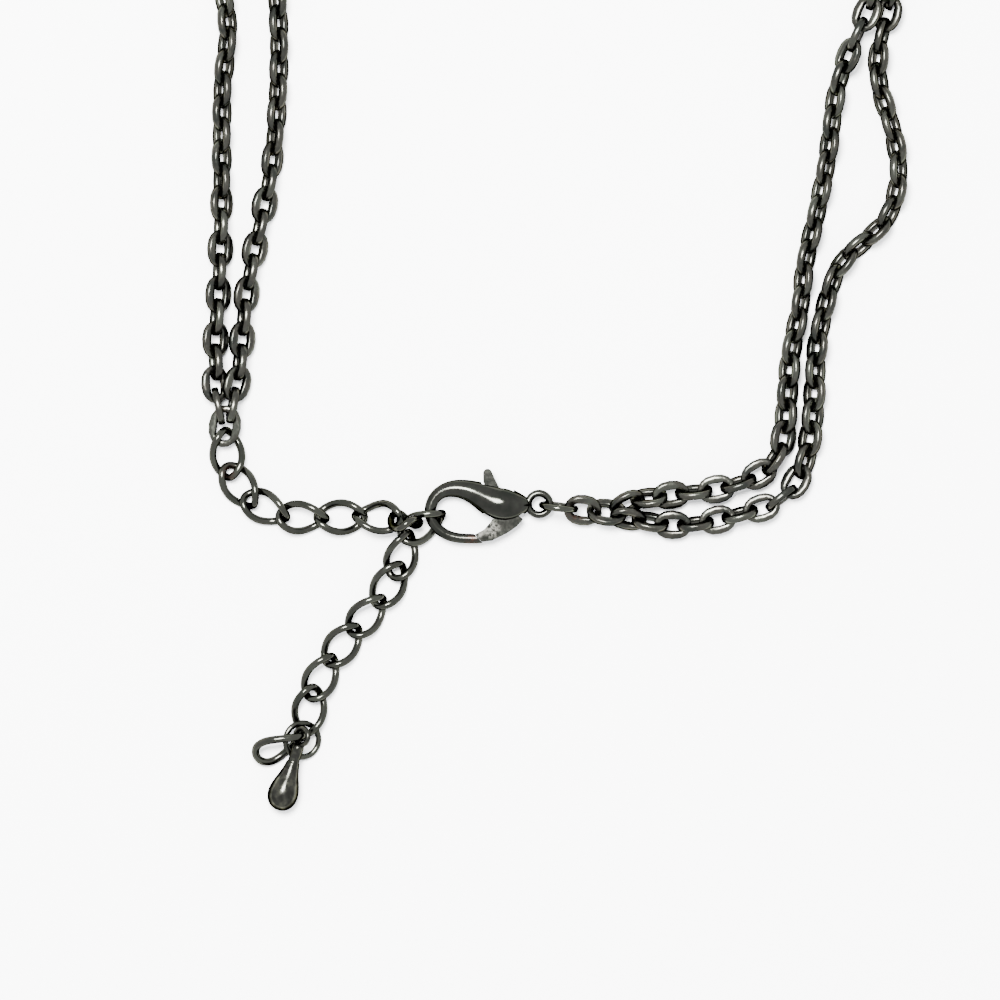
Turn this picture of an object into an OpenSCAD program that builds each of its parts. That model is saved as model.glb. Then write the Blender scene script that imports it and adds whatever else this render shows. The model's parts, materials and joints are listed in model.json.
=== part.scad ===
/* [Cable links] */
// Length of a cable link over its ends
link_length = 3.6; // [3.5:0.05:3.7]
// Width of a cable link over its sides
link_width = 2.65; // [2.6:0.05:2.8]
// Thickness of a cable link's wire
link_wire = 0.65; // [0.55:0.05:0.65]
// Play between two cable links where one hangs in the other
link_play = 0.15; // [0.1:0.05:0.2]

/* [Extender] */
// Length of a curb link over its ends
curb_length = 5.2; // [5.15:0.05:5.25]
// Width of a curb link over its sides
curb_width = 3.45; // [3.35:0.05:3.5]
// Thickness of a curb link's wire
curb_wire = 0.65; // [0.6:0.05:0.65]
// Angle that each end of a curb link is twisted out of its middle
curb_twist = 45; // [40:1:50]

/* [Clasp] */
// Thickness of the lever's plate
lever_plate = 0.9; // [0.8:0.05:1.1]
// Clear gap between the lever and each cheek
cheek_gap = 0.1; // [0.08:0.01:0.15]
// Radius of the rivet that the lever turns on
rivet_r = 0.45; // [0.4:0.05:0.5]
// Clear gap between the rivet and the lever's hole
rivet_gap = 0.05; // [0.03:0.01:0.08]
// Outer diameter of the tail ring
tail_ring_d = 2.7; // [2.6:0.05:2.8]
// Thickness of the tail ring's wire
tail_ring_wire = 0.6; // [0.5:0.05:0.65]

/* [Jump rings] */
// Outer diameter of the ring at the clasp
clasp_ring_d = 3.8; // [3.7:0.05:3.9]
// Outer diameter of the ring at the extender's end
end_ring_d = 3.8; // [3.7:0.05:3.9]
// Thickness of the wire of the ring at the clasp
ring_wire = 0.6; // [0.5:0.05:0.65]

/* [Drop] */
// Length of the drop's body without its eye
drop_length = 6.6; // [6.4:0.1:6.8]
// Greatest radius of the drop
drop_r = 1.5; // [1.4:0.05:1.6]
// Inner diameter of the drop's eye
eye_hole = 1.1; // [1:0.05:1.2]
// Thickness of the drop's eye
eye_wire = 0.5; // [0.45:0.05:0.5]

/* [Hidden] */
curb_count = 14;

// The plan's own zero is beside the clasp; this shift puts the origin under the middle of the box.
plan_centre = [9.24, 66.41];
round_fn = 40;
metal = "dimgray";

// Half the centreline's length and width of a cable link
link_reach = (link_length - link_wire) / 2;
link_side = (link_width - link_wire) / 2;
// Half the straight side of a cable link
link_straight = link_reach - link_side;
// How far the end of a link's centreline stands past the joint with the next one
link_hold = (link_wire + link_play) / 2;
// Distance between two joints of a chain
joint_step = 2 * (link_reach - link_hold);
// Flat links hang this much lower than the upright ones that carry them
flat_drop = 0.05;
// Play under the lying links, so that none dips into the surface where the chain turns over
rest_gap = 0.04;
// Widths of the links that carry both strands, and the lengths of the two longer ones
shared_width_a = 3.1;
shared_width_b = 3.0;
shared_length_b = 3.85;
connecting_width = 3.05;
connecting_length = 4.0;
// Wire of the ring at the extender's end
end_ring_wire = 0.55;
// The link between the end ring and the drop, which narrows toward the drop
leaf_length = 5.6;
leaf_width = 3.4;
leaf_twist = 25;
leaf_narrow = 0.35;

// The inner strand from the clasp round to the extender
// Columns: x, y, lift, roll of the even links, turn from them to the odd links
inner_route = [
    [10.95, -0.85, 0, 45, 90],
    [12.8, 0.0, 0.4, 35, 85],
    [14.9, 0.3, 0.3, 25, 80],
    [16.9, 0.6, 0, 15, 80],
    [19.0, 0.8, 0, 8, 80],
    [20.9, 1.1, 0, 5, 75],
    [23.2, 1.8, 0, 5, 78],
    [25.1, 2.8, 0, 15, 88],
    [26.3, 4.4, 0, 25, 92],
    [26.8, 6.4, 0, 35, 90],
    [26.9, 8.0, 0, 45, 90],
    [27.1, 10.4, 0, 45, 90],
    [27.4, 14.0, 0, 45, 90],
    [28.3, 18.3, 0, 45, 90],
    [28.7, 22.2, 0, 45, 90],
    [29.7, 26.5, 0, 45, 90],
    [30.8, 32.0, 0, 45, 90],
    [31.5, 37.5, 0, 45, 90],
    [32.2, 40.5, 0.4, 52, 90],
    [33.5, 43.5, 1.0, 68, 90],
    [34.7, 46.3, 1.2, 75, 90],
    [37.0, 52.5, 0.4, 60, 90],
    [41.0, 66.0, 0, 45, 90],
    [46.0, 95.0, 0, 45, 90],
    [43.0, 127.0, 0, 45, 90],
    [28.0, 149.0, 0, 45, 90],
    [8.0, 156.5, 0, 45, 90],
    [-12.0, 149.0, 0, 45, 90],
    [-25.0, 127.0, 0, 45, 90],
    [-27.5, 95.0, 0, 45, 90],
    [-23.0, 64.0, 0, 45, 90],
    [-21.2, 50.0, 0, 45, 90],
    [-20.8, 43.5, 0, 45, 90],
    [-20.9, 38.5, 0, 45, 90],
    [-21.3, 33.0, 0, 50, 90],
    [-22.0, 28.5, 0, 60, 85],
    [-23.1, 23.5, 0, 60, 85],
    [-24.0, 18.5, 0, 60, 85],
    [-24.3, 14.5, 0.1, 60, 85],
    [-24.8, 11.8, 0.3, 62, 88],
    [-25.2, 9.8, 0.3, 65, 90],
    [-25.42, 7.65, 0.1, 65, 90]];

// The outer strand from the clasp round to the extender
// Columns: x, y, lift, roll of the even links, turn from them to the odd links
outer_route = [
    [10.95, -1.7, 0.4, 30, 95],
    [13.1, -2.1, 0, 22, 90],
    [15.1, -2.3, 0, 15, 85],
    [16.7, -2.4, 0, 10, 80],
    [18.8, -2.2, 0, 5, 75],
    [20.9, -1.8, 0, 5, 75],
    [23.0, -1.2, 0, 5, 75],
    [25.0, -0.7, 0, 0, 85],
    [26.7, 0.2, 0, -10, 90],
    [28.0, 1.8, 0, -22, 95],
    [28.8, 3.9, 0, -35, 95],
    [29.2, 5.6, 0, -45, 90],
    [29.6, 10.0, 0, -45, 90],
    [29.8, 14.2, 0, -45, 90],
    [30.6, 18.2, 0, -45, 90],
    [32.0, 22.2, 0, -45, 90],
    [34.5, 24.5, 0, -45, 90],
    [36.4, 26.4, 0, -45, 90],
    [37.4, 29.2, 0, -45, 90],
    [37.5, 32.0, 0, -45, 90],
    [36.9, 35.2, 0, -45, 90],
    [35.9, 38.2, 0, -45, 90],
    [35.5, 41.0, 0, -45, 90],
    [36.0, 44.0, 0, -30, 90],
    [37.0, 47.2, 0, -11, 90],
    [40.2, 53.0, 0, -30, 90],
    [45.5, 66.0, 0, -45, 90],
    [50.5, 95.0, 0, -45, 90],
    [46.5, 129.0, 0, -45, 90],
    [30.0, 152.5, 0, -20, 90],
    [8.0, 161.0, 0, 0, 90],
    [-14.0, 152.5, 0, 20, 90],
    [-29.0, 129.0, 0, 45, 90],
    [-32.0, 95.0, 0, 45, 90],
    [-28.5, 64.0, 0, 45, 90],
    [-26.5, 50.0, 0, 45, 90],
    [-25.6, 44.5, 0, 45, 90],
    [-26.1, 39.5, 0, 45, 90],
    [-26.2, 34.0, 0, 45, 90],
    [-26.2, 29.0, 0, 50, 88],
    [-26.3, 24.5, 0, 60, 85],
    [-26.5, 19.5, 0, 60, 85],
    [-26.8, 15.0, 0, 60, 85],
    [-26.8, 12.0, 0, 62, 88],
    [-26.5, 9.8, 0, 65, 90],
    [-26.18, 7.65, 0, 65, 90]];
outer_right_links = 32;
outer_left_links = 19;

// The strands' first and last links, which turn into the links that both strands share
// Columns: x, y, z, roll, rise, heading
inner_first = [
    [11.95, -0.35, 1.25, 43, 8, 30],
    [14.0, 0.2, 1.3, -54, 7, 4]];
inner_last = [
    [-24.5, 13.0, 1.3, 65, 6, -95],
    [-24.75, 10.95, 1.4, -26, 6, -107],
    [-25.15, 8.95, 1.6, 80, 12, -99]];
outer_first = [
    [12.05, -1.75, 1.45, 45, -12, -12],
    [14.15, -2.05, 1.2, -57, -2, -9]];
outer_last = [
    [-26.75, 13.0, 1.3, 65, 6, -86],
    [-26.8, 10.9, 1.3, -20, 0, -85],
    [-26.5, 8.85, 1.4, 89, 3, -78]];

// The tube that stands for the outer strand's far stretch
strand_tube_d = 2.2;
strand_tube_rings = 60;
strand_tube_sides = 8;

// The curb links: 1 to 6 run to the clasp, 7 stands upright, 8 is hooked in the clasp, the rest hang past it
// Columns: x, y, z, roll, rise, heading
curb_links = [
    [-25.69, 4.35, 1.12, -7.7, -4.7, -85.2],
    [-24.53, 1.33, 0.99, 9.0, 0.7, -54.6],
    [-22.09, -0.71, 1.17, 20.5, 6.4, -24.1],
    [-18.58, -1.65, 1.35, 26.4, -2.4, -1.9],
    [-15.00, -1.62, 1.00, 0.5, -1.4, 0.2],
    [-11.50, -1.57, 1.60, -22.4, 18.1, -5.7],
    [-8.90, -2.01, 2.59, -3.4, 97.9, 88.7],
    [-7.32, -2.39, 1.39, 34.5, 5.3, 30.8],
    [-9.24, -5.17, 1.11, -23.1, -4.6, -107.1],
    [-10.44, -7.99, 1.05, -9.6, 1.7, -120.0],
    [-12.53, -10.85, 1.23, -21.8, -3.4, -131.1],
    [-14.87, -13.63, 1.07, -8.8, -1.8, -128.9],
    [-16.85, -16.68, 1.22, -14.5, -0.3, -118.7],
    [-17.97, -19.79, 1.05, 0.4, -5.6, -99.7]];
curb_rings = 16;
curb_sides = 6;

// Where the clasp's pivot stands in the plan
clasp_at = [0.28, -1.13];
// The clasp's hook and belly from the tip to the tail
// Columns: x, y, half the width
clasp_stations = [
    [-1.6, -2.5, 0.45],
    [-2.45, -2.5, 0.47],
    [-3.6, -2.5, 0.48],
    [-4.7, -2.4, 0.5],
    [-5.75, -1.95, 0.52],
    [-6.55, -1.15, 0.55],
    [-6.95, -0.15, 0.57],
    [-6.75, 0.95, 0.6],
    [-6.1, 1.8, 0.65],
    [-5.0, 2.25, 0.8],
    [-3.8, 2.2, 0.95],
    [-2.65, 1.85, 1.15],
    [-1.5, 1.25, 1.5],
    [-0.55, 0.8, 1.69],
    [0.3, 0.7, 1.69],
    [1.2, 0.65, 1.42],
    [2.0, 0.7, 0.95],
    [2.6, 0.75, 0.45]];
clasp_sides = 16;
clasp_steps = 2;
// The section's height over its width
clasp_flat = 0.86;
clasp_level = 1.48;
tail_ring_at = [3.4, 0.76];

function last(v) = v[len(v) - 1];
function unit(v) = v / norm(v);

// A smooth line through a table's rows
function slope(rows, i) =
    let (a = rows[max(i - 1, 0)], b = rows[min(i + 1, len(rows) - 1)])
    (b - a) / norm([b.x - a.x, b.y - a.y]);
function between(rows, i, t) =
    let (a = rows[i], b = rows[i + 1], chord = norm([b.x - a.x, b.y - a.y]))
    a * (2 * t * t * t - 3 * t * t + 1) + b * (3 * t * t - 2 * t * t * t)
    + slope(rows, i) * chord * (t * t * t - 2 * t * t + t)
    + slope(rows, i + 1) * chord * (t * t * t - t * t);
function smooth(rows, steps) = [
    for (i = [0 : len(rows) - 2]) for (k = [0 : steps - 1]) between(rows, i, k / steps),
    last(rows)];

// How many links the line holds up to each of its points
function running_links(line) = [
    for (i = 0, count = 0; i < len(line);
         count = count + (i + 1 < len(line) ? plan_step(line, i) : 0), i = i + 1) count];
function plan_step(line, i) =
    norm([line[i + 1].x - line[i].x, line[i + 1].y - line[i].y]) / joint_step;
// Height of a lying link's middle over the surface
function lying_level(roll) = rest_gap + link_wire / 2 + link_side * abs(sin(roll));

// The joints of a chain along a route; columns: x, y, z, roll of the even links, roll of the odd links
function chain_joints(route) =
    let (line = smooth(route, 12), counts = running_links(line), links = 2 * floor(last(counts) / 2) + 1)
    [for (j = [0 : links])
        let (at = j * last(counts) / links,
             row = [for (c = [0 : 4]) lookup(at, [for (k = [0 : len(line) - 1]) [counts[k], line[k][c]]])],
             level = max(lying_level(row[3]), lying_level(row[3] - row[4])))
        [row[0], row[1], max(row[2], 0) + level, row[3], row[3] - row[4]]];

inner_joints = chain_joints(inner_route);
outer_joints = chain_joints(outer_route);
inner_links = len(inner_joints) - 1;
outer_links = len(outer_joints) - 1;

// A cable link along X, flat in the plan
module cable_link(length, width, wire) {
    side = (width - wire) / 2;
    straight = length - width;
    for (end = [-1, 1]) {
        translate([end * straight / 2, 0, 0])
            rotate([0, 0, end > 0 ? -90 : 90])
                rotate_extrude(angle = 180, $fn = round_fn)
                    translate([side, 0]) circle(d = wire, $fn = round_fn);
        translate([-straight / 2, end * side, 0])
            rotate([0, 90, 0]) cylinder(d = wire, h = straight, $fn = round_fn);
    }
}

// Puts a piece that lies along X between two points and rolls it about its length
module between_joints(a, b, roll) {
    run = [b.x - a.x, b.y - a.y, b.z - a.z];
    translate([(a.x + b.x) / 2, (a.y + b.y) / 2, (a.z + b.z) / 2])
        rotate([roll, -asin(run.z / norm(run)), atan2(run.y, run.x)]) children();
}

// Puts a piece that lies along X in a place of its own: x, y, z, roll, rise, heading
module posed(p) {
    translate([p[0], p[1], p[2]]) rotate([p[3], -p[4], p[5]]) children();
}

module posed_links(rows) {
    for (p = rows) posed(p) cable_link(link_length, link_width, link_wire);
}

module chain_links(joints, first, last) {
    for (i = [first : last]) {
        column = i % 2 == 0 ? 3 : 4;
        roll = (joints[i][column] + joints[i + 1][column]) / 2;
        translate([0, 0, -flat_drop * max(0, cos(2 * roll))])
            between_joints(joints[i], joints[i + 1], roll)
                cable_link(link_length, link_width, link_wire);
    }
}

// A tube through a row of points, with each ring square to the line
module tube(line, d, sides) {
    rings = len(line);
    points = [
        for (i = [0 : rings - 1])
            let (along = unit(line[min(i + 1, rings - 1)] - line[max(i - 1, 0)]),
                 across = unit(cross([0, 0, 1], along)),
                 up = cross(along, across))
            for (k = [0 : sides - 1])
                line[i] + (across * cos(360 * k / sides) + up * sin(360 * k / sides)) * d / 2];
    walls = [
        for (i = [0 : rings - 2]) for (k = [0 : sides - 1])
            let (a = i * sides + k, b = i * sides + (k + 1) % sides)
            [a, a + sides, b + sides, b]];
    polyhedron(points, concat(walls,
        [[for (k = [0 : sides - 1]) k]],
        [[for (k = [sides - 1 : -1 : 0]) (rings - 1) * sides + k]]));
}

// A point of a bent wire link's centreline, for an angle round the link.
// The link lies along X, is narrower in front, and its plane turns from back to front.
function bent_point(angle, length, width, wire, twist, narrow) =
    let (u = cos(angle),
         side = (width - wire) / 2 * sin(angle) * (1 - narrow * u),
         turn = twist * u)
    [(length - wire) / 2 * u, side * cos(turn), side * sin(turn)];

module bent_link(length, width, wire, twist, narrow, rings, sides) {
    step = 360 / rings;
    points = [
        for (i = [0 : rings - 1])
            let (at = bent_point(i * step, length, width, wire, twist, narrow),
                 along = unit(bent_point(i * step + 1, length, width, wire, twist, narrow)
                              - bent_point(i * step - 1, length, width, wire, twist, narrow)),
                 turn = twist * cos(i * step),
                 face = [0, -sin(turn), cos(turn)],
                 across = unit(cross(face, along)),
                 up = cross(along, across))
            for (k = [0 : sides - 1])
                at + (across * cos(360 * k / sides) + up * sin(360 * k / sides)) * wire / 2];
    faces = [
        for (i = [0 : rings - 1]) for (k = [0 : sides - 1])
            let (a = i * sides + k, b = i * sides + (k + 1) % sides,
                 c = (i + 1) % rings * sides + k, d = (i + 1) % rings * sides + (k + 1) % sides)
            each [[a, c, d], [a, d, b]]];
    polyhedron(points, faces, convexity = 4);
}

module wire_ring(outer_d, wire) {
    rotate_extrude($fn = round_fn) translate([(outer_d - wire) / 2, 0]) circle(d = wire, $fn = round_fn);
}

module placed() {
    translate([-plan_centre.x, -plan_centre.y, 0]) color(metal) children();
}

module inner_strand() {
    placed() {
        posed_links(inner_first);
        chain_links(inner_joints, len(inner_first), inner_links - len(inner_last) - 1);
        posed_links(inner_last);
    }
}

module outer_strand() {
    placed() {
        posed_links(outer_first);
        chain_links(outer_joints, len(outer_first), outer_right_links - 1);
        chain_links(outer_joints, outer_links - outer_left_links, outer_links - len(outer_last) - 1);
        posed_links(outer_last);
    }
}

// The far stretch of the outer strand, clear of the end links of the near stretches
module outer_strand_back() {
    clear = link_hold + link_wire / 2 + link_play;
    first = outer_right_links + clear / joint_step;
    span = outer_links - outer_left_links - clear / joint_step - first;
    line = [
        for (i = [0 : strand_tube_rings - 1])
            let (at = first + span * i / (strand_tube_rings - 1), j = floor(at), part = at - j)
            [for (c = [0 : 2]) outer_joints[j][c] * (1 - part) + outer_joints[j + 1][c] * part]];
    placed() tube([for (p = line) [p.x, p.y, strand_tube_d / 2]], strand_tube_d, strand_tube_sides);
}

module at_clasp() {
    placed() translate([clasp_at.x, clasp_at.y, clasp_level]) children();
}

// Hook and belly as one smooth form through the stations
module clasp_form() {
    line = smooth(clasp_stations, clasp_steps);
    rings = len(line);
    points = [
        for (i = [0 : rings - 1])
            let (a = line[max(i - 1, 0)], b = line[min(i + 1, rings - 1)],
                 along = unit([b.x - a.x, b.y - a.y]), across = [-along.y, along.x])
            for (k = [0 : clasp_sides - 1])
                let (angle = 360 * k / clasp_sides)
                [line[i].x + across.x * cos(angle) * line[i][2],
                 line[i].y + across.y * cos(angle) * line[i][2],
                 sin(angle) * line[i][2] * clasp_flat]];
    walls = [
        for (i = [0 : rings - 2]) for (k = [0 : clasp_sides - 1])
            let (a = i * clasp_sides + k, b = i * clasp_sides + (k + 1) % clasp_sides)
            [a, a + clasp_sides, b + clasp_sides, b]];
    polyhedron(points, concat(walls,
        [[for (k = [0 : clasp_sides - 1]) k]],
        [[for (k = [clasp_sides - 1 : -1 : 0]) (rings - 1) * clasp_sides + k]]), convexity = 4);
}

// Room for the lever between the cheeks, over its whole swing
module lever_slot() {
    height = lever_plate + 2 * cheek_gap;
    translate([0, 0, -height / 2]) linear_extrude(height)
        polygon([[-2.05, 4.3], [-2.05, 2.8], [-1.0, 0.5], [-1.6, -0.05], [-2.4, -0.3], [-2.4, -1.6],
                 [2.15, -1.6], [2.15, -0.3], [1.15, 0.45], [0.95, 2.7], [0.95, 4.3]]);
}

// The slanted end of the hook, where the gate rests on the tip
module gate_room() {
    translate([0, 0, -2]) linear_extrude(4)
        polygon([[-3.4, -1.52], [-1.6, -3.32], [-1.0, -3.32], [-1.0, -1.52]]);
}

module clasp_body() {
    at_clasp() {
        difference() {
            clasp_form();
            lever_slot();
            gate_room();
        }
        cylinder(r = rivet_r, h = 2 * (clasp_level - 0.3), center = true, $fn = round_fn);
        translate([tail_ring_at.x, tail_ring_at.y, 0]) wire_ring(tail_ring_d, tail_ring_wire);
    }
}

// Gate arm and thumb tab on one plate
module clasp_lever() {
    at_clasp() difference() {
        translate([0, 0, -lever_plate / 2]) linear_extrude(lever_plate) union() {
            polygon([[-1.87, 3.6], [-1.85, 2.83], [-0.75, 0.3], [0.75, 0.3], [-0.57, 2.74], [-1.07, 3.8]]);
            polygon([[-0.8, 0.3], [-0.85, -0.55], [-1.19, -0.95], [-1.77, -1.64], [-2.66, -2.12], [-1.97, -2.81],
                     [-1.05, -2.7], [0.39, -1.98], [1.26, -1.38], [1.9, -0.7], [0.75, 0.3]]);
            translate([-1.45, 3.65]) circle(r = 0.42, $fn = round_fn);
            circle(r = 0.85, $fn = round_fn);
        }
        cylinder(r = rivet_r + rivet_gap, h = 2 * lever_plate, center = true, $fn = round_fn);
    }
}

module clasp_ring() {
    placed() posed([5.5, -0.65, clasp_ring_d / 2, 95, 0, -7]) wire_ring(clasp_ring_d, ring_wire);
}

module shared_link_a() {
    placed() posed([7.8, -0.95, 1.6, 29, -6, -8]) cable_link(link_length, shared_width_a, link_wire);
}

module shared_link_b() {
    placed() posed([10.05, -1.15, 1.5, -40, 1, -7]) cable_link(shared_length_b, shared_width_b, link_wire);
}

module connecting_link() {
    placed() posed([-25.9, 6.95, 1.35, -6, 7, 81]) cable_link(connecting_length, connecting_width, link_wire);
}

module extender_link(i) {
    placed() posed(curb_links[i - 1])
        bent_link(curb_length, curb_width, curb_wire, curb_twist, 0, curb_rings, curb_sides);
}

module end_ring() {
    placed() posed([-18.65, -22.6, 0.85, 6, -18, 0]) wire_ring(end_ring_d, end_ring_wire);
}

module leaf_link() {
    placed() posed([-20.7, -23.15, 1.5, 55, 7, 24])
        bent_link(leaf_length, leaf_width, curb_wire, leaf_twist, leaf_narrow, curb_rings, curb_sides);
}

// The drop's outline from the tip of the bulb to the neck, for a bulb of radius 1.5 and a length of 6.6
drop_outline = [[0, 0], [0.4, 0.07], [0.85, 0.28], [1.25, 0.7], [1.5, 1.5], [1.4, 2.3], [1.1, 3.1],
                [0.8, 3.9], [0.63, 4.7], [0.6, 5.6], [0.62, 6.3], [0.4, 6.6], [0, 6.6]];

module drop() {
    placed() posed([-19.9, -26.05, 1.7, 51, 6, 72]) rotate([0, 90, 0]) translate([0, 0, -drop_length / 2]) {
        rotate_extrude($fn = round_fn)
            polygon([for (p = drop_outline) [p.x * drop_r / 1.5, p.y * drop_length / 6.6]]);
        translate([0, 0, drop_length + eye_hole / 2 + eye_wire / 3])
            rotate([90, 0, 0]) wire_ring(eye_hole + 2 * eye_wire, eye_wire);
    }
}

inner_strand();
outer_strand();
outer_strand_back();
clasp_body();
clasp_lever();
clasp_ring();
shared_link_a();
shared_link_b();
connecting_link();
for (i = [1 : curb_count]) {
    extender_link(i);
}
end_ring();
leaf_link();
drop();
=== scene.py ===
import json
import math
import bmesh
import bpy
import numpy as np
from mathutils import Euler, Matrix, Vector


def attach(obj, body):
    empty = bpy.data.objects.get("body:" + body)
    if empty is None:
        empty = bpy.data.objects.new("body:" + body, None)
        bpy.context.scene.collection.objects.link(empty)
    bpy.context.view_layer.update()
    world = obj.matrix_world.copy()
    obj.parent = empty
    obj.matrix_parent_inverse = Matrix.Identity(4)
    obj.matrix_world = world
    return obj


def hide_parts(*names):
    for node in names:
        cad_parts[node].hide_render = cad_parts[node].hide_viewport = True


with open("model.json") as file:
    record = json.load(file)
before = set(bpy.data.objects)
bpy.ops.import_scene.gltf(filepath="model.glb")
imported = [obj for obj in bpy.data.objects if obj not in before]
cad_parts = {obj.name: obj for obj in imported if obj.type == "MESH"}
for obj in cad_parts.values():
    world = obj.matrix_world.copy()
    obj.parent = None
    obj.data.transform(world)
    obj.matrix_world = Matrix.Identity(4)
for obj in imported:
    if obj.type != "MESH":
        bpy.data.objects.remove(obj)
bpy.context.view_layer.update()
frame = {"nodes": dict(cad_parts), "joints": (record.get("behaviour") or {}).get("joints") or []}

mm = 0.001
sameSpot = 0.002 * mm  # points nearer than this are one point
sameFrameSpot = 0.0001 * mm  # the same for the frame's own finer meshes
sharpTurn = math.radians(50)  # edges that turn more than this are broken or rounded over
# Plan points count from beside the clasp, the frame from the middle
planCentre = Vector((9.24, 66.41, 0)) * mm


# Selecting, applying and placing

def pick(*pieces):
    if bpy.context.object and bpy.context.object.mode == "EDIT":
        bpy.ops.object.mode_set(mode="OBJECT")
    bpy.ops.object.select_all(action="DESELECT")
    for piece in pieces:
        piece.select_set(True)
    bpy.context.view_layer.objects.active = pieces[-1]


def openMesh(piece):
    pick(piece)
    bpy.ops.object.mode_set(mode="EDIT")
    bpy.ops.mesh.select_mode(type="VERT")
    bpy.ops.mesh.select_all(action="SELECT")


def closeMesh():
    bpy.ops.mesh.select_all(action="SELECT")
    bpy.ops.mesh.remove_doubles(threshold=sameSpot)
    bpy.ops.mesh.normals_make_consistent(inside=False)
    bpy.ops.object.mode_set(mode="OBJECT")


def applyModifier(piece, kind, **settings):
    pick(piece)
    modifier = piece.modifiers.new(kind.title(), kind)
    for name, value in settings.items():
        setattr(modifier, name, value)
    bpy.ops.object.modifier_apply(modifier=modifier.name)


def named(name):
    piece = bpy.context.object
    piece.name = name
    piece.data.name = name
    return piece


def applyPlace(piece):
    pick(piece)
    bpy.ops.object.transform_apply(location=True, rotation=True, scale=True)


def posed(place):
    # x, y, z in millimetres of the plan, then roll, rise and heading in degrees
    x, y, z, roll, rise, heading = place
    turn = Euler([math.radians(a) for a in (roll, -rise, heading)]).to_matrix().to_4x4()
    return Matrix.Translation(Vector((x, y, z)) * mm - planCentre) @ turn


def copyAt(model, name, places):
    # one piece of copies of a model, each with its own mesh
    copies = []
    for place in places:
        copy = model.copy()
        copy.data = model.data.copy()
        copy.data.transform(place)
        bpy.context.collection.objects.link(copy)
        copies.append(copy)
    pick(*copies)
    if len(copies) > 1:
        bpy.ops.object.join()
    return named(name)


def smoothed(piece, degrees=60, weighted=True):
    pick(piece)
    bpy.ops.object.shade_smooth_by_angle(angle=math.radians(degrees))
    if weighted:
        applyModifier(piece, "WEIGHTED_NORMAL", keep_sharp=True, weight=70)
    return piece


def finished(piece, material, body, slotName, *nodes):
    piece.data.materials.clear()
    piece.data.materials.append(material)
    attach(piece, body)
    if nodes:
        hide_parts(*nodes)
    return piece


# Where the frame has its links: the length along X, the width along Y and the thickness along Z

def solidsOf(node):
    source = frame["nodes"][node]
    copy = source.copy()
    copy.data = source.data.copy()
    copy.parent = None
    bpy.context.collection.objects.link(copy)
    openMesh(copy)
    bpy.ops.mesh.remove_doubles(threshold=sameFrameSpot)
    bpy.ops.mesh.separate(type="LOOSE")
    bpy.ops.object.mode_set(mode="OBJECT")
    parts = list(bpy.context.selected_objects)
    clouds = [np.array([v.co for v in part.data.vertices], float) for part in parts]
    for part in parts:
        bpy.data.objects.remove(part)
    return clouds


def placeOf(cloud):
    middle = cloud.mean(axis=0)
    values, axes = np.linalg.eigh(np.cov((cloud - middle).T))
    axes = axes[:, ::-1]
    if np.linalg.det(axes) < 0:
        axes[:, 2] *= -1
    return Matrix.Translation(Vector(middle)) @ Matrix(axes.tolist()).to_4x4()


def placesOf(node):
    return [placeOf(cloud) for cloud in solidsOf(node)]


# Materials

def linear(hexColor):
    # sRGB hex to the linear values that the shader takes
    parts = [int(hexColor[i:i + 2], 16) / 255 for i in (1, 3, 5)]
    return [c / 12.92 if c <= 0.04045 else ((c + 0.055) / 1.055) ** 2.4 for c in parts] + [1.0]


def addNode(tree, kind, settings={}, **inputs):
    # an input goes by its name, or by its number where names repeat, as in i6
    node = tree.nodes.new("ShaderNode" + kind)
    for name, value in settings.items():
        setattr(node, name, value)
    for name, value in inputs.items():
        socket = node.inputs[int(name[1:])] if name[0] == "i" and name[1:].isdigit() else node.inputs[name]
        if isinstance(value, bpy.types.NodeSocket):
            tree.links.new(value, socket)
        else:
            socket.default_value = value
    return node


# Black nickel over brass: dark neutral grey with a faint green cast
# The rolled links are satin, so their flats stay even and only edges gleam
satinPlate = {
    "base": "#363732",
    "deep": "#272825",
    "tint": "#31302c",
    "roughness": (0.14, 0.28),
    "cloud": 2.4,     # mm, the size of the lighter and darker areas
    "grain": 0.3,     # mm, the pits and rubs; finer ones would not show
    "bump": 0.05,
    "bumpDepth": 0.02,  # mm
    "rimShade": "#404040",  # painted shade: the plate's reflection is tinted dark where it turns away, standing in for a dark surround, where the white floor would turn it white
}
# The clasp is polished, so it carries a long bright stripe
gunmetalPlate = dict(satinPlate, base="#2b2c28", deep="#20211e", tint="#262623", roughness=(0.1, 0.16))
# The curb links and rings are drawn wire, as bright as the clasp and a little paler
drawnPlate = dict(gunmetalPlate, base="#33342f", deep="#292a26", tint="#2e2e2a")
# Brown tarnish where links rub: x, y, z in millimetres of the plan and the reach of each spot
tarnish = {"color": "#2e1d18", "roughness": 0.5,
           "spots": [(7.1, -0.95, 1.6, 0.9), (8.9, -1.3, 1.2, 0.6), (-2.7, -3.7, 1.4, 0.6),
                     (-25.5, 2.6, 1.2, 0.7), (-26.3, 8.6, 1.2, 0.7), (-7.6, -1.5, 1.6, 0.6)]}


# Noise values between which one look turns into the next; for a spot, distances as shares of its reach
blends = {"cloud": (0.38, 0.5, 0.62), "grain": (0.35, 0.65), "patch": (0.4, 0.55), "spot": (1.5, 0.3)}


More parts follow.
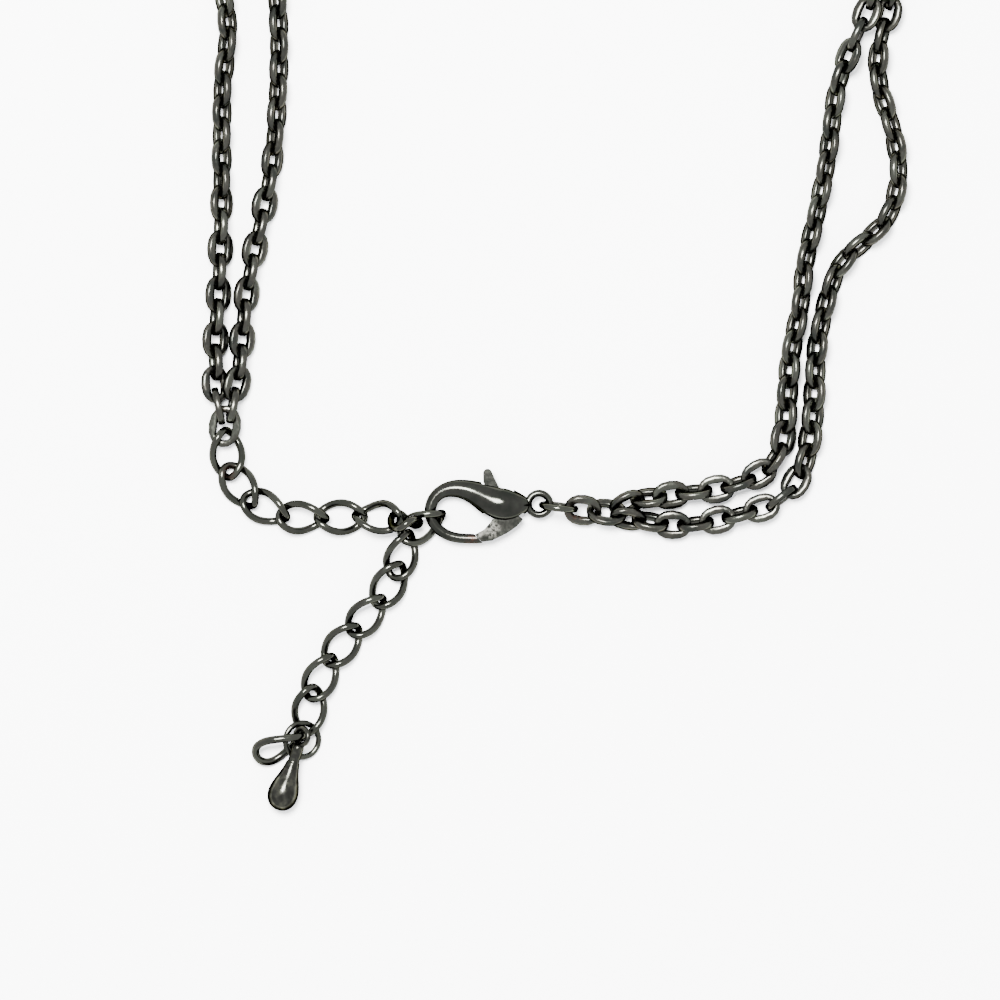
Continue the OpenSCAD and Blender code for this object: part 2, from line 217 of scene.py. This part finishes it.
def plateMaterial(name, look, marks):
    material = bpy.data.materials.new(name)
    material.use_nodes = True
    tree = material.node_tree
    tree.nodes.clear()
    place = addNode(tree, "TexCoord").outputs["Object"]
    cloud = addNode(tree, "TexNoise", {"noise_dimensions": "3D"}, Vector=place,
                    Scale=1 / (look["cloud"] * mm), Detail=3.0, Roughness=0.6)
    grain = addNode(tree, "TexNoise", {"noise_dimensions": "3D"}, Vector=place,
                    Scale=1 / (look["grain"] * mm), Detail=4.0, Roughness=0.65)
    shade = addNode(tree, "ValToRGB", Fac=cloud.outputs["Fac"])
    dark, middle, light = blends["cloud"]
    shade.color_ramp.elements[0].position = dark
    shade.color_ramp.elements[0].color = linear(look["deep"])
    shade.color_ramp.elements[1].position = light
    shade.color_ramp.elements[1].color = linear(look["base"])
    warm = shade.color_ramp.elements.new(middle)
    warm.color = linear(look["tint"])
    color = shade.outputs["Color"]
    gloss = addNode(tree, "MapRange", **{
        "Value": grain.outputs["Fac"], "From Min": blends["grain"][0], "From Max": blends["grain"][1],
        "To Min": look["roughness"][0], "To Max": look["roughness"][1]})
    rough = gloss.outputs["Result"]
    wearAndHighlight = None
    # The spots are stains and wear, and on the lever also a painted highlight at the tip
    for x, y, z, reach in marks["spots"]:
        at = Vector((x, y, z)) * mm - planCentre
        near = addNode(tree, "VectorMath", {"operation": "DISTANCE"}, i0=place, i1=at)
        spot = addNode(tree, "MapRange", {"interpolation_type": "SMOOTHSTEP"}, **{
            "Value": near.outputs["Value"],
            "From Min": reach * blends["spot"][0] * mm, "From Max": reach * blends["spot"][1] * mm})
        wearAndHighlight = spot.outputs["Result"] if wearAndHighlight is None else addNode(
            tree, "Math", {"operation": "MAXIMUM"}, i0=wearAndHighlight, i1=spot.outputs["Result"]).outputs["Value"]
    if wearAndHighlight is not None:
        patchy = addNode(tree, "MapRange", **{
            "Value": grain.outputs["Fac"], "From Min": blends["patch"][0], "From Max": blends["patch"][1]})
        share = addNode(tree, "Math", {"operation": "MULTIPLY"}, i0=wearAndHighlight, i1=patchy.outputs["Result"])
        mixed = addNode(tree, "Mix", {"data_type": "RGBA"}, i0=share.outputs["Value"], i6=color,
                        i7=linear(marks["color"]))
        color = mixed.outputs[2]
        dull = addNode(tree, "Mix", {"data_type": "FLOAT"}, i0=share.outputs["Value"], i2=rough,
                       i3=marks["roughness"])
        rough = dull.outputs[0]
    bump = addNode(tree, "Bump", Height=grain.outputs["Fac"], Strength=look["bump"],
                   Distance=look["bumpDepth"] * mm)
    # The specular tint paints shade onto the grazing reflection at the rims
    shader = addNode(tree, "BsdfPrincipled", **{"Base Color": color, "Metallic": 1.0, "Roughness": rough,
                                                "Specular Tint": linear(look["rimShade"]),
                                                "Normal": bump.outputs["Normal"]})
    addNode(tree, "OutputMaterial", Surface=shader.outputs["BSDF"])
    return material


satin = plateMaterial("satinNickelPlate", satinPlate, tarnish)
gunmetal = plateMaterial("blackNickelPlate", gunmetalPlate, tarnish)
drawn = plateMaterial("drawnNickelPlate", drawnPlate, tarnish)
# The drop is cast and tumbled, so its gleam is broken and softer
# The drop's rims get lighter painted shade than the other plates'
tumbledPlate = dict(gunmetalPlate, base="#33332d", deep="#1e1e1b", roughness=(0.12, 0.24),
                    cloud=0.8, grain=0.35, bump=0.25, rimShade="#707070")
tumbled = plateMaterial("tumbledNickelPlate", tumbledPlate, {"spots": []})
# The gate's flat face is paler and duller where links scrape it; the second spot, on the lever's curved tip,
# is a painted highlight
scrapesAndTipHighlight = {"color": "#32312e", "roughness": 0.34,
           # Spots: x, y, z, reach; the first is scraping wear, the second a painted highlight on the tip
           "spots": [(-0.85, -2.7, 1.9, 0.8), (-1.9, -3.15, 1.9, 0.35)]}
scrapedWithTipHighlight = plateMaterial("scrapedNickelPlateWithTipHighlight", gunmetalPlate, scrapesAndTipHighlight)
print("materials made")


# Cable links: rolled wire, so that the face is flat and the edges are broken

cableLink = {
    "length": 3.6,
    "width": 2.7,
    "sideWire": 0.77,  # the rolled wire is broad along the sides
    "endWire": 0.66,   # and leaves room for the next link at the ends
    "thickness": 0.66,
    "corner": 0.1,
    "straight": 0.3,   # the outer outline's straight stretch on each side
    "lift": 0.02,      # thicker wire than the frame's, so the strands lie this much higher
    "steepen": 14,     # degrees that a half turned link stands steeper, so that the strands look like rope
    "steepFrom": (8, 18),  # mm of the plan's height over which that sets in, above the crowded ends
    "sides": 16,
}


def outlineLoop(name, size, level, straight=0):
    # an oval outline, or one with straight sides where its two halves are drawn apart
    sides = cableLink["sides"]
    bpy.ops.mesh.primitive_circle_add(vertices=sides, radius=0.5, location=(0, 0, level * mm))
    loop = named(name)
    loop.scale = ((size[0] - straight) * mm, size[1] * mm, 1)
    applyPlace(loop)
    openMesh(loop)
    shape = bmesh.from_edit_mesh(loop.data)
    for side in (-1, 1):
        for vertex in shape.verts:
            vertex.select_set(vertex.co.x * side > sameSpot)
        shape.select_flush_mode()
        bpy.ops.transform.translate(value=(side * straight / 2 * mm, 0, 0))
    bpy.ops.object.mode_set(mode="OBJECT")
    return loop


def linkModel(name, length=cableLink["length"], width=cableLink["width"]):
    # two outlines bridged to a flat washer, drawn up to the wire's thickness, with its edges broken
    inner = (length - 2 * cableLink["endWire"], width - 2 * cableLink["sideWire"])
    low = -cableLink["thickness"] / 2
    loops = [outlineLoop(name, (length, width), low, cableLink["straight"]),
             outlineLoop(name, inner, low, inner[0] - inner[1])]
    pick(*loops)
    bpy.ops.object.join()
    model = named(name)
    openMesh(model)
    bpy.ops.mesh.bridge_edge_loops()
    bpy.ops.mesh.select_all(action="SELECT")
    bpy.ops.mesh.extrude_region_move(TRANSFORM_OT_translate={"value": (0, 0, cableLink["thickness"] * mm)})
    closeMesh()
    applyModifier(model, "BEVEL", width=cableLink["corner"] * mm, segments=1, limit_method="ANGLE",
                  angle_limit=sharpTurn)
    return model


nearLink = linkModel("nearLinkModel")
lift = Matrix.Translation((0, 0, cableLink["lift"] * mm))


def steeper(place):
    # turned further the way it leans already, and raised by as much as its lower side goes down
    along, across = place.col[0].to_3d(), place.col[1].to_3d()
    low, high = cableLink["steepFrom"]
    share = min(1, max(0, ((place.translation + planCentre).y / mm - low) / (high - low)))
    roll = math.asin(min(1, abs(across.z)))
    extra = math.radians(cableLink["steepen"]) * math.sin(2 * roll) * share
    side = (cableLink["width"] - cableLink["sideWire"]) / 2
    rise = side * (math.sin(roll + extra) - math.sin(roll))
    sense = math.copysign(1, along.cross(across).z * across.z)
    return (Matrix.Translation(place.translation + Vector((0, 0, rise * mm)))
            @ Matrix.Rotation(extra * sense, 4, along) @ place.to_3x3().to_4x4())


def strand(name, node, places):
    piece = smoothed(copyAt(nearLink, name, [steeper(place) for place in places]))
    return finished(piece, satin, "necklace", "dark_plate", node)


innerPlaces = [lift @ place for place in placesOf("inner_strand")]
outerPlaces = [lift @ place for place in placesOf("outer_strand")]
strand("innerStrandLinks", "inner_strand", innerPlaces)
strand("outerStrandLinks", "outer_strand", outerPlaces)
print("strands in view made")

# The outer strand's far stretch, which the frame has as a plain tube
# Columns of the route: x, y, roll of the even links
farStretch = {
    "step": 2.15,     # mm from joint to joint
    "restGap": 0.06,  # mm that the lowest links are off the floor
    "flatDrop": 0.05,  # mm that a flat link hangs below its steep neighbours' joints
    "route": [(35.9, 38.2, -45), (35.5, 41.0, -45), (36.0, 44.0, -30), (37.0, 47.2, -11), (40.2, 53.0, -30),
              (45.5, 66.0, -45), (50.5, 95.0, -45), (46.5, 129.0, -45), (30.0, 152.5, -20), (8.0, 161.0, 0),
              (-14.0, 152.5, 20), (-29.0, 129.0, 45), (-32.0, 95.0, 45), (-28.5, 64.0, 45), (-26.5, 50.0, 45),
              (-25.6, 44.5, 45), (-26.1, 39.5, 45), (-26.2, 34.0, 45)],
    "stepsPerPoint": 12,
}


def smoothRoute(rows, steps):
    rows = [np.array(row, float) for row in rows]

    def slope(i):
        a, b = rows[max(i - 1, 0)], rows[min(i + 1, len(rows) - 1)]
        return (b - a) / np.linalg.norm((b - a)[:2])

    line = []
    for i in range(len(rows) - 1):
        a, b = rows[i], rows[i + 1]
        chord = np.linalg.norm((b - a)[:2])
        for k in range(steps):
            t = k / steps
            line.append(a * (2 * t ** 3 - 3 * t ** 2 + 1) + b * (3 * t ** 2 - 2 * t ** 3)
                        + slope(i) * chord * (t ** 3 - 2 * t ** 2 + t)
                        + slope(i + 1) * chord * (t ** 3 - t ** 2))
    return line + [rows[-1]]


def endJoint(places, side):
    # the joint past the topmost link of one side's near stretch, in the plan's millimetres
    place = max((p for p in places if p.translation.x * side > 0), key=lambda p: p.translation.y)
    along = place.col[0].to_3d() * math.copysign(1, place.col[0].y)
    reach = farStretch["step"] / 2 * mm
    joint = (place.translation + along * reach + planCentre) / mm
    return np.array([joint.x, joint.y])


def farPlaces():
    wire, width, step = cableLink["endWire"], cableLink["width"], farStretch["step"]
    line = smoothRoute(farStretch["route"], farStretch["stepsPerPoint"])
    plan = np.array([row[:2] for row in line])
    rolls = np.array([row[2] for row in line])
    run = np.concatenate([[0], np.cumsum(np.linalg.norm(np.diff(plan, axis=0), axis=1))])
    ends = []
    for joint in (endJoint(outerPlaces, 1), endJoint(outerPlaces, -1)):
        ends.append(run[np.argmin(np.linalg.norm(plan - joint, axis=1))])
    count = 2 * round((ends[1] - ends[0]) / step / 2)
    at = np.linspace(ends[0], ends[1], count + 1)
    x, y = np.interp(at, run, plan[:, 0]), np.interp(at, run, plan[:, 1])
    x[0], y[0] = endJoint(outerPlaces, 1)
    x[-1], y[-1] = endJoint(outerPlaces, -1)
    even = np.interp(at, run, rolls)
    side = (width - wire) / 2
    level = farStretch["restGap"] + wire / 2 + side * np.maximum(
        abs(np.sin(np.radians(even))), abs(np.sin(np.radians(even - 90))))
    places = []
    for i in range(count):
        roll = (even[i] + even[i + 1]) / 2 - (0 if i % 2 == 0 else 90)
        z = (level[i] + level[i + 1]) / 2 - farStretch["flatDrop"] * max(0, math.cos(2 * math.radians(roll)))
        heading = math.degrees(math.atan2(y[i + 1] - y[i], x[i + 1] - x[i]))
        places.append(posed(((x[i] + x[i + 1]) / 2, (y[i] + y[i + 1]) / 2, z, roll, 0, heading)))
    return places


strand("outerStrandFarLinks", "outer_strand_back", farPlaces())
print("far stretch made")

# The links that carry both strands
doubleLinks = {
    "shared_link_a": ("doubleLinkByRing", 3.6, 3.1),
    "shared_link_b": ("doubleLinkByStrands", 3.85, 3.0),
    "connecting_link": ("connectingLink", 4.0, 3.05),
}
for node, (name, length, width) in doubleLinks.items():
    model = linkModel(name + "Model", length, width)
    piece = smoothed(copyAt(model, name, placesOf(node)))
    finished(piece, satin, "necklace", "dark_plate", node)
    bpy.data.objects.remove(model)
print("double links made")


# Wire bent to a loop, as a curve with a round section

def wireLoop(name, length, width, wire, twist=0, narrow=0, points=40, bevel=4):
    # an oval or a ring; narrow slims one end, and twist turns the loop along its length
    bpy.ops.mesh.primitive_circle_add(vertices=points, radius=1)
    piece = named(name)
    piece.scale = ((length - wire) / 2 * mm, (width - wire) / 2 * mm, 1)
    applyPlace(piece)
    if narrow:
        applyModifier(piece, "SIMPLE_DEFORM", deform_method="TAPER", deform_axis="X", factor=-2 * narrow)
    if twist:
        applyModifier(piece, "SIMPLE_DEFORM", deform_method="TWIST", deform_axis="X",
                      angle=math.radians(2 * twist))
    pick(piece)
    bpy.ops.object.convert(target="CURVE")
    piece = bpy.context.object
    piece.data.bevel_depth = wire / 2 * mm
    piece.data.bevel_resolution = bevel
    piece.data.use_fill_caps = False
    bpy.ops.object.convert(target="MESH")
    openMesh(bpy.context.object)
    closeMesh()
    return named(name)


curbLink = {"length": 5.2, "width": 3.45, "wire": 0.7, "twist": 45}
curbModel = wireLoop("curbLinkModel", **curbLink)
for node in [n for n in frame["nodes"] if n.startswith("extender_link_")]:
    name = "curbLink" + node.rsplit("_", 1)[1].zfill(2)
    piece = smoothed(copyAt(curbModel, name, placesOf(node)), weighted=False)
    finished(piece, drawn, "necklace", "dark_plate", node)

leafLink = {"length": 5.6, "width": 3.4, "wire": 0.74, "twist": 25, "narrow": 0.35}
leafPlace = (-20.7, -23.15, 1.5, 55, 7, 24)
leafModel = wireLoop("leafLinkModel", **leafLink)
leaf = smoothed(copyAt(leafModel, "leafLink", [posed(leafPlace)]), weighted=False)
finished(leaf, drawn, "necklace", "dark_plate", "leaf_link")

jumpRings = {"clasp_ring": ("claspRing", 3.8, 0.65), "end_ring": ("endRing", 3.8, 0.55)}
for node, (name, outer, wire) in jumpRings.items():
    model = wireLoop(name + "Model", outer, outer, wire, points=48)
    piece = smoothed(copyAt(model, name, placesOf(node)), weighted=False)
    finished(piece, drawn, "necklace", "dark_plate", node)
    bpy.data.objects.remove(model)
print("extender and rings made")

# The drop: a cast bulb with a long neck and a wire eye
# Columns of the outline: height over the bulb's end, radius
drop = {
    "place": (-19.9, -26.05, 1.7, 51, 6, 72),
    "length": 6.6,
    "outline": [(0.0, 0.25), (0.09, 0.62), (0.38, 1.05), (0.85, 1.36), (1.5, 1.5), (2.15, 1.43), (2.9, 1.19),
                (3.6, 0.91), (4.2, 0.74), (4.66, 0.66), (4.74, 0.66), (4.78, 0.56), (5.0, 0.54), (5.6, 0.56),
                (6.2, 0.6), (6.45, 0.54), (6.6, 0.36)],
    "sides": 32,
    "eyeHole": 1.1,
    "eyeWire": 0.5,
    "eyeOut": 1 / 3,  # share of the eye's wire that stands out of the neck
}


def ringStack(name, rings, sides):
    # a closed form drawn up ring by ring; columns of the rings: height, radius
    bpy.ops.mesh.primitive_circle_add(vertices=sides, radius=rings[0][1] * mm, fill_type="NGON",
                                      location=(0, 0, rings[0][0] * mm))
    piece = named(name)
    applyPlace(piece)
    openMesh(piece)
    for (low, before), (high, after) in zip(rings, rings[1:]):
        bpy.ops.mesh.extrude_region_move(TRANSFORM_OT_translate={"value": (0, 0, (high - low) * mm)})
        share = after / before
        bpy.ops.transform.resize(value=(share, share, 1), center_override=(0, 0, high * mm))
    closeMesh()
    return piece


body = ringStack("dropBody", drop["outline"], drop["sides"])
applyModifier(body, "SUBSURF", levels=1, render_levels=1)
eyeSize = drop["eyeHole"] + 2 * drop["eyeWire"]
eye = wireLoop("dropEye", eyeSize, eyeSize, drop["eyeWire"], points=28, bevel=3)
eye.rotation_euler = (math.radians(90), 0, 0)
eye.location = (0, 0, (drop["length"] + drop["eyeHole"] / 2 + drop["eyeWire"] * drop["eyeOut"]) * mm)
applyPlace(eye)
pick(eye, body)
bpy.ops.object.join()
dropPiece = named("castDrop")
dropPiece.data.transform(posed(drop["place"]) @ Euler((0, math.radians(90), 0)).to_matrix().to_4x4()
                         @ Matrix.Translation((0, 0, -drop["length"] / 2 * mm)))
smoothed(dropPiece, weighted=False)
finished(dropPiece, tumbled, "necklace", "satin_plate", "drop")
print("drop made")

# The clasp: one cast hook and belly with two cheeks, and a sprung lever on a hidden rivet
# Columns of the stations: x, y, half the width, counted from the rivet
clasp = {
    "stations": [(-1.6, -2.5, 0.45), (-2.45, -2.5, 0.47), (-3.6, -2.5, 0.48), (-4.7, -2.4, 0.5),
                 (-5.75, -1.95, 0.52), (-6.55, -1.15, 0.55), (-6.95, -0.15, 0.57), (-6.75, 0.95, 0.6),
                 (-6.1, 1.8, 0.65), (-5.0, 2.25, 0.8), (-3.8, 2.2, 0.95), (-2.65, 1.85, 1.15),
                 (-1.5, 1.25, 1.5), (-0.55, 0.8, 1.69), (0.3, 0.7, 1.69), (1.2, 0.65, 1.42), (2.0, 0.7, 0.95),
                 (2.6, 0.75, 0.45)],
    "sides": 16,
    "flat": 0.86,  # thickness over width
    "slot": [(-2.05, 4.3), (-2.05, 2.8), (-1.0, 0.5), (-1.6, -0.05), (-2.4, -0.3), (-2.4, -1.6), (2.15, -1.6),
             (2.15, -0.3), (1.15, 0.45), (0.95, 2.7), (0.95, 4.3)],
    "slotHeight": 1.1,
    "gateRoom": [(-3.28, -1.52), (-1.48, -3.32), (-1.0, -3.32), (-1.0, -1.52)],
    "gateRoomHeight": 4,
    "tailRing": (3.4, 0.76),
    "tailRingSize": 2.7,
    "tailRingWire": 0.68,
    "edge": 0.05,
    "leverRound": 0.2,
    "leverTip": -4.7,  # x + y from the rivet, past which the lever's edges stay sharp
    "leverSameSpot": 0.001,
}
pivot = Vector(frame["joints"][0]["pos_m"])


def plateCutter(name, outline, height):
    # a flat outline drawn up to a block, for cutting
    mesh = bpy.data.meshes.new(name)
    mesh.from_pydata([(x * mm, y * mm, -height / 2 * mm) for x, y in outline], [], [range(len(outline))])
    block = bpy.data.objects.new(name, mesh)
    bpy.context.collection.objects.link(block)
    openMesh(block)
    bpy.ops.mesh.extrude_region_move(TRANSFORM_OT_translate={"value": (0, 0, height * mm)})
    closeMesh()
    return block


def hookForm(name, stations, sides, flat):
    x, y, half = stations[0]
    bpy.ops.mesh.primitive_circle_add(vertices=sides, radius=half * mm, fill_type="NGON")
    piece = named(name)
    headings = []
    for i in range(len(stations)):
        a, b = stations[max(i - 1, 0)], stations[min(i + 1, len(stations) - 1)]
        headings.append(math.atan2(b[1] - a[1], b[0] - a[0]))
    piece.scale = (flat, 1, 1)
    applyPlace(piece)
    piece.rotation_euler = (0, math.radians(90), 0)
    applyPlace(piece)
    piece.rotation_euler = (0, 0, headings[0])
    piece.location = (x * mm, y * mm, 0)
    applyPlace(piece)
    openMesh(piece)
    for i in range(1, len(stations)):
        (x0, y0, r0), (x1, y1, r1) = stations[i - 1], stations[i]
        centre = (x1 * mm, y1 * mm, 0)
        step = ((x1 - x0) * mm, (y1 - y0) * mm, 0)
        bpy.ops.mesh.extrude_region_move(TRANSFORM_OT_translate={"value": step})
        turn = (headings[i] - headings[i - 1] + math.pi) % (2 * math.pi) - math.pi
        bpy.ops.transform.rotate(value=-turn, orient_axis="Z", center_override=centre)
        bpy.ops.transform.resize(value=(r1 / r0,) * 3, center_override=centre)
    closeMesh()
    return piece


hook = hookForm("claspHook", clasp["stations"], clasp["sides"], clasp["flat"])
applyModifier(hook, "SUBSURF", levels=2, render_levels=2)
for cutter in (plateCutter("slotCutter", clasp["slot"], clasp["slotHeight"]),
               plateCutter("gateCutter", clasp["gateRoom"], clasp["gateRoomHeight"])):
    applyModifier(hook, "BOOLEAN", object=cutter, operation="DIFFERENCE", solver="EXACT")
    bpy.data.objects.remove(cutter)
tail = wireLoop("tailRing", clasp["tailRingSize"], clasp["tailRingSize"], clasp["tailRingWire"], points=40)
tail.location = (clasp["tailRing"][0] * mm, clasp["tailRing"][1] * mm, 0)
applyPlace(tail)
applyModifier(hook, "BOOLEAN", object=tail, operation="UNION", solver="EXACT")
bpy.data.objects.remove(tail)
openMesh(hook)
closeMesh()
applyModifier(hook, "BEVEL", width=clasp["edge"] * mm, segments=2, limit_method="ANGLE",
              angle_limit=sharpTurn, use_clamp_overlap=True)
hook.data.transform(Matrix.Translation(pivot))
smoothed(hook, degrees=35)
finished(hook, gunmetal, "necklace", "dark_plate", "clasp_body")

# The lever keeps the frame's outline, merged, with its edges rounded over but for the tip at the hook
source = frame["nodes"]["clasp_lever"]
lever = source.copy()
lever.data = source.data.copy()
lever.parent = None
bpy.context.collection.objects.link(lever)
openMesh(lever)
bpy.ops.mesh.remove_doubles(threshold=clasp["leverSameSpot"] * mm)
bpy.ops.mesh.dissolve_limited(angle_limit=math.radians(1))
bpy.ops.mesh.select_mode(type="EDGE")
bpy.ops.mesh.select_all(action="DESELECT")
bpy.ops.mesh.edges_select_sharp(sharpness=sharpTurn)
shape = bmesh.from_edit_mesh(lever.data)
for edge in shape.edges:
    reach = max(sum((vertex.co - pivot)[:2]) for vertex in edge.verts)
    if reach < clasp["leverTip"] * mm:
        edge.select_set(False)
shape.select_flush_mode()
bpy.ops.mesh.bevel(offset=clasp["leverRound"] * mm, segments=3, affect="EDGES", clamp_overlap=True)
bpy.ops.mesh.select_mode(type="VERT")
closeMesh()
lever.name = "claspLever"
smoothed(lever, degrees=40)
finished(lever, scrapedWithTipHighlight, "lever", "dark_plate", "clasp_lever")
print("clasp made")

for model in (nearLink, curbModel, leafModel):
    bpy.data.objects.remove(model)

# Floor, light and camera
studio = {
    "photoMiddle": (-9.24, -66.41),   # mm of the frame
    "photoWidth": 94.3,
    "distance": 700,
    "floor": "#fbfbfa",
    "floorWidth": 4000,
    "floorRoughness": 0.9,
    "world": "#c8cacc",
    "worldStrength": 5.2,
    # Columns: name, place from the photograph's middle, size, watts
    # The lamp stands beside the zenith, so that flat faces don't mirror it
    "lamps": [("windowLamp", (-70, 135, 560), (190, 165), 26.0)],
}
middle = Vector((*studio["photoMiddle"], 0)) * mm
bpy.ops.object.select_all(action="DESELECT")
bpy.ops.mesh.primitive_plane_add(size=studio["floorWidth"] * mm)
floor = named("floor")
paper = bpy.data.materials.new("matteFloor")
paper.use_nodes = True
matte = paper.node_tree.nodes["Principled BSDF"]
matte.inputs["Base Color"].default_value = linear(studio["floor"])
matte.inputs["Roughness"].default_value = studio["floorRoughness"]
floor.data.materials.append(paper)

world = bpy.data.worlds.new("studioAir")
bpy.context.scene.world = world
world.use_nodes = True
air = world.node_tree.nodes["Background"]
air.inputs["Color"].default_value = linear(studio["world"])
air.inputs["Strength"].default_value = studio["worldStrength"]
for name, place, size, power in studio["lamps"]:
    bpy.ops.object.light_add(type="AREA", location=middle + Vector(place) * mm)
    lamp = bpy.context.object
    lamp.name = name
    lamp.data.shape = "RECTANGLE"
    lamp.data.size, lamp.data.size_y = size[0] * mm, size[1] * mm
    lamp.data.energy = power
    lamp.rotation_euler = (-Vector(place)).to_track_quat("-Z", "Y").to_euler()

bpy.ops.object.camera_add(location=middle + Vector((0, 0, studio["distance"] * mm)), rotation=(0, 0, 0))
camera = bpy.context.object
camera.data.sensor_width = 36
camera.data.lens = camera.data.sensor_width * studio["distance"] / studio["photoWidth"]
camera.data.clip_start = 10 * mm
camera.data.clip_end = 10
bpy.context.scene.camera = camera
print("studio set")
